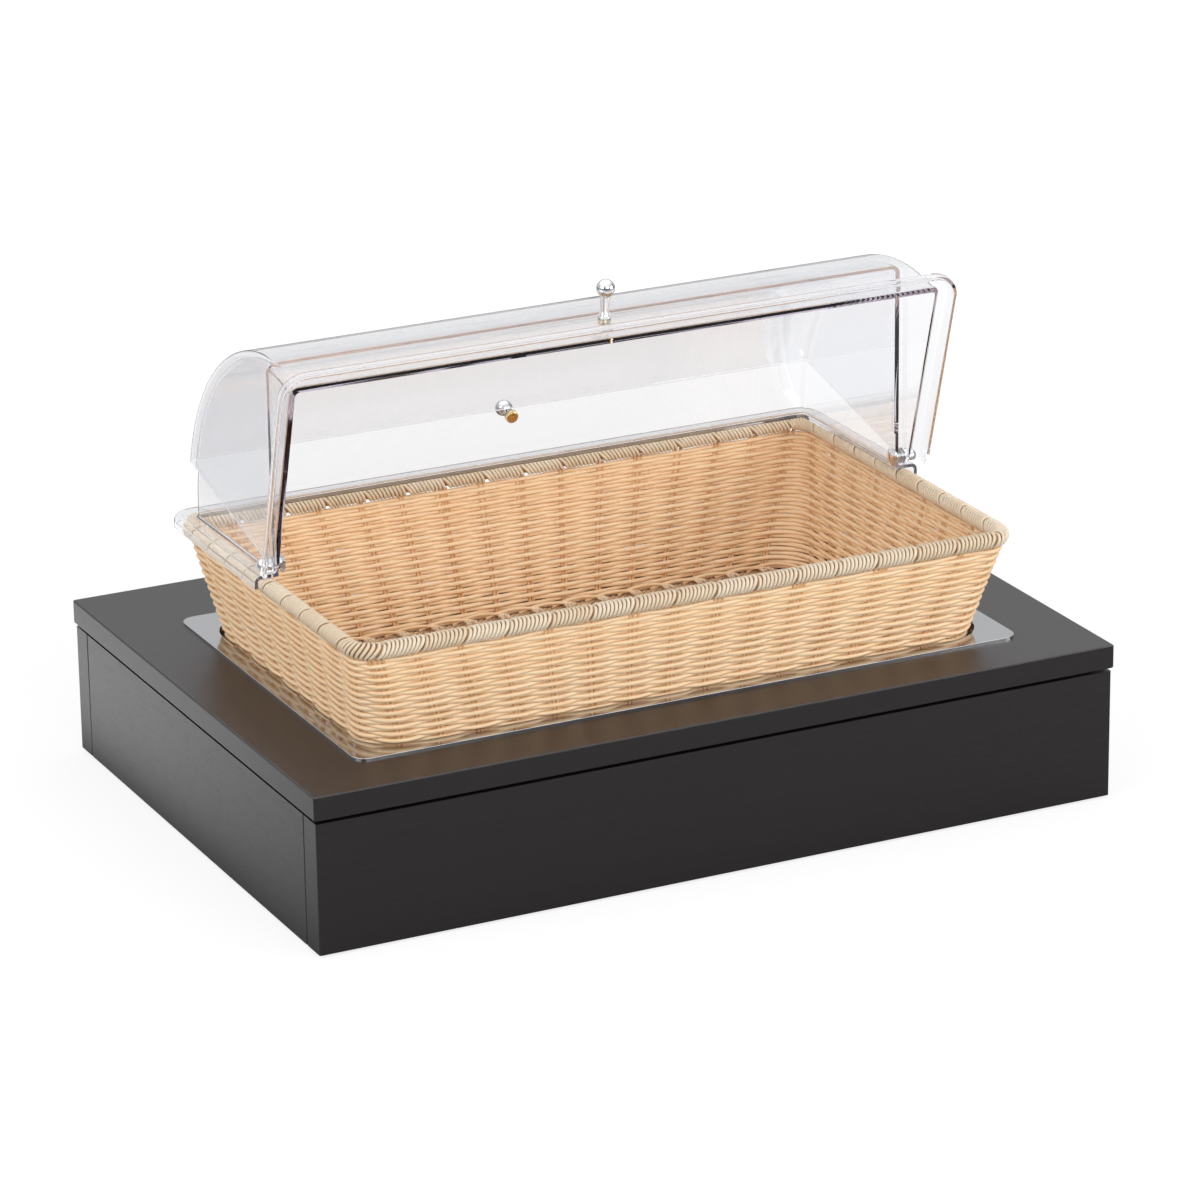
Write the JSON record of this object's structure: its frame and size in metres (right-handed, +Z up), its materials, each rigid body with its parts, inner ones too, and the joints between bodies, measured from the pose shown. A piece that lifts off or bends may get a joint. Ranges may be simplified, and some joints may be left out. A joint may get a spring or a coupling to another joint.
{
  "type": "bread display bin",
  "caption": "Buffet bread display: dark wooden box with a steel insert, a woven basket standing in it and a clear roll-top cover whose front flap rolls back over the rear shell.",
  "frame": {"origin": "on the table, under the middle of the wooden box", "axes": "+X along the width to the right as seen from the front, +Y to the back, +Z up"},
  "size_m": [0.636, 0.452, 0.3943],
  "materials": {
    "dark_wood": "satin black-brown stain with fine open grain",
    "dowel_wood": "raw beech",
    "foot_rubber": "matt",
    "screw_steel": "zinc plated",
    "insert_steel": "satin stainless sheet",
    "basket_cane": "woven cane coloured strands with a soft sheen",
    "rim_cane": "pale wrapped strands with a soft sheen",
    "clear_plastic": "clear, polished",
    "washer_plastic": "translucent",
    "hardware_chrome": "polished",
    "knob_screw_brass": "bright brass plated"
  },
  "bodies": {
    "box": {"front_panel": "dark_wood", "back_panel": "dark_wood", "left_panel": "dark_wood", "right_panel": "dark_wood", "top_board": "dark_wood", "front_batten": "dark_wood", "back_batten": "dark_wood", "left_batten": "dark_wood", "right_batten": "dark_wood", "corner_block_front_left": "dark_wood", "corner_block_front_right": "dark_wood", "corner_block_back_left": "dark_wood", "corner_block_back_right": "dark_wood", "foot_front_left": "foot_rubber", "foot_front_right": "foot_rubber", "foot_back_left": "foot_rubber", "foot_back_right": "foot_rubber", "panel_dowels": "dowel_wood", "batten_screws": "screw_steel", "board_screws": "screw_steel"},
    "insert": {"steel_insert": "insert_steel"},
    "basket": {"basket_rim_core": "rim_cane", "basket_rim_wrap": "rim_cane", "basket_walls": "basket_cane", "basket_floor": "basket_cane", "basket_hoop": "basket_cane"},
    "cover": {"rear_shell": "clear_plastic", "left_hinge_screw": "hardware_chrome", "right_hinge_screw": "hardware_chrome", "left_hinge_spacer": "hardware_chrome", "right_hinge_spacer": "hardware_chrome", "left_hinge_washer": "washer_plastic", "right_hinge_washer": "washer_plastic", "left_cap_washer": "hardware_chrome", "right_cap_washer": "hardware_chrome", "left_cap_nut": "hardware_chrome", "right_cap_nut": "hardware_chrome", "rear_stop_knob": "hardware_chrome", "rear_knob_screw": "knob_screw_brass", "rear_knob_washer": "washer_plastic"},
    "flap": {"front_flap": "clear_plastic", "front_knob": "hardware_chrome", "front_knob_screw": "knob_screw_brass", "front_knob_washer": "washer_plastic"}
  },
  "joints": [
    {"name": "insert_lift", "type": "slide", "parent": "box", "child": "insert", "axis": [0, 0, 1], "range_m": [0, 0.12]},
    {"name": "basket_lift", "type": "slide", "parent": "insert", "child": "basket", "axis": [0, 0, 1], "range_m": [0, 0.15]},
    {"name": "cover_lift", "type": "slide", "parent": "basket", "child": "cover", "axis": [0, 0, 1], "range_m": [0, 0.15]},
    {"name": "flap_hinge", "type": "hinge", "parent": "cover", "child": "flap", "pos_m": [0, -0.017, 0.214], "axis": [1, 0, 0], "range_deg": [0, 74]}
  ]
}
